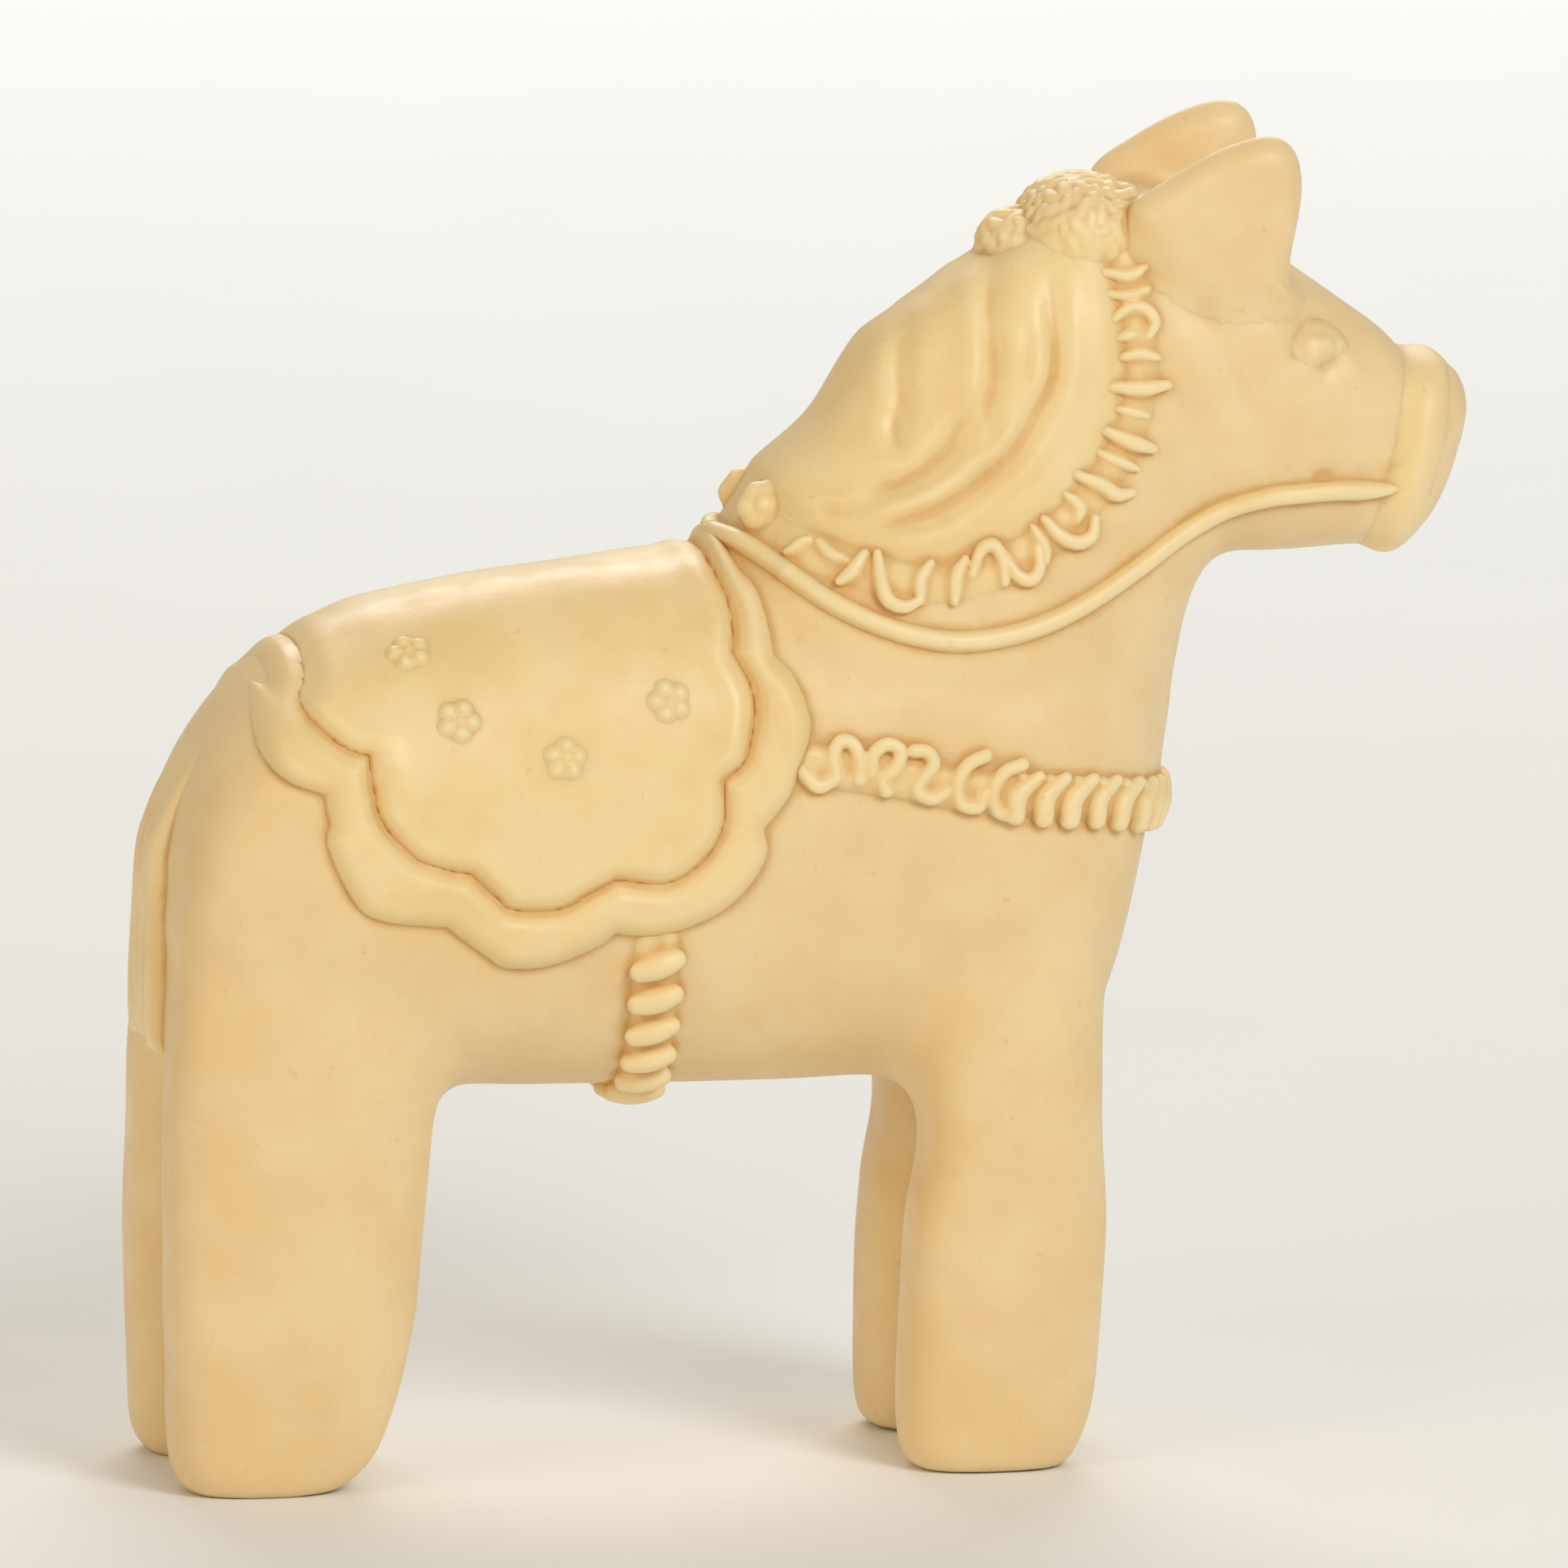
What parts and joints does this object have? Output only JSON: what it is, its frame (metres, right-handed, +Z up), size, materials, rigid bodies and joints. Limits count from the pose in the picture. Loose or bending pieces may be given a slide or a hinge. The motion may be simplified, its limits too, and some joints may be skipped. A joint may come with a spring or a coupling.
{
  "type": "dala horse figurine",
  "caption": "Small standing dala horse in cream cast resin, with a scalloped saddle blanket, rope girth and breast strap, reins, a combed mane with a curled fringe, and a docked tail.",
  "frame": {"origin": "on the plane of the four soles, under the middle of the horse's length and width", "axes": "+X from the tail to the nose, +Y to the horse's left, +Z up"},
  "size_m": [0.0454, 0.0146, 0.0448],
  "materials": {
    "cream_resin": "satin cream paint over cast resin, with an ochre wash in the hollows",
    "relief_resin": "satin cream paint over cast resin, with an ochre wash in the hollows"
  },
  "bodies": {
    "root": {"horse_body": "cream_resin", "ear_right": "cream_resin", "ear_left": "cream_resin", "eye_right": "cream_resin", "eye_left": "cream_resin", "tail": "cream_resin", "mane": "relief_resin", "mane_fringe_right": "relief_resin", "mane_fringe_left": "relief_resin", "forelock": "relief_resin", "crest_curl": "relief_resin", "withers_knob_right": "relief_resin", "withers_knob_left": "relief_resin", "noseband": "relief_resin", "rein_right": "relief_resin", "rein_left": "relief_resin", "breast_strap": "relief_resin", "girth": "relief_resin", "saddle_blanket": "relief_resin", "blanket_border": "relief_resin", "blanket_flower_right_1": "relief_resin", "blanket_flower_right_2": "relief_resin", "blanket_flower_right_3": "relief_resin", "blanket_flower_right_4": "relief_resin", "blanket_flower_left_1": "relief_resin", "blanket_flower_left_2": "relief_resin", "blanket_flower_left_3": "relief_resin", "blanket_flower_left_4": "relief_resin"}
  },
  "joints": []
}
